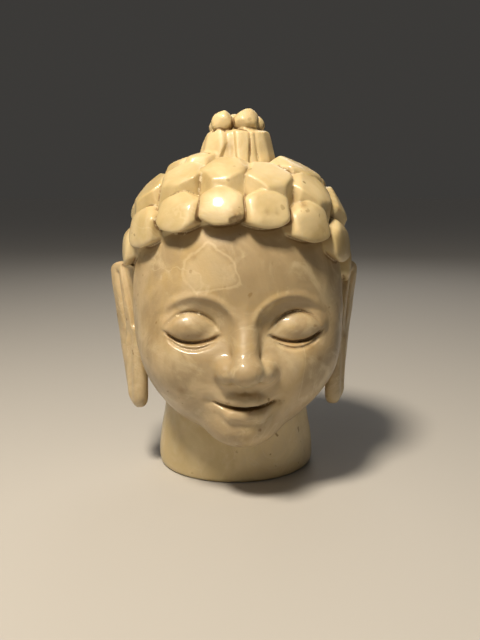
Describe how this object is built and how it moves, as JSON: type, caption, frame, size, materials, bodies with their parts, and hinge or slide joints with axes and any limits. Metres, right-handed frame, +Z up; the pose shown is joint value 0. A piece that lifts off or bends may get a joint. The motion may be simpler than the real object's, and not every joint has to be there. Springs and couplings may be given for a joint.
{
  "type": "stone buddha head",
  "caption": "Small carved soapstone Buddha head with snail-curl hair, a beaded topknot and long ears, standing on its own flat-cut neck.",
  "frame": {"origin": "middle of the flat underside of the neck", "axes": "+Z up through the topknot, -Y out of the face, +X to the right of someone facing it"},
  "size_m": [0.0686, 0.0694, 0.1],
  "materials": {
    "soapstone": "waxed and polished, olive-cream with faint clouding and brown specks, darker in the grooves"
  },
  "bodies": {
    "root": {"stone_head": "soapstone"}
  },
  "joints": []
}
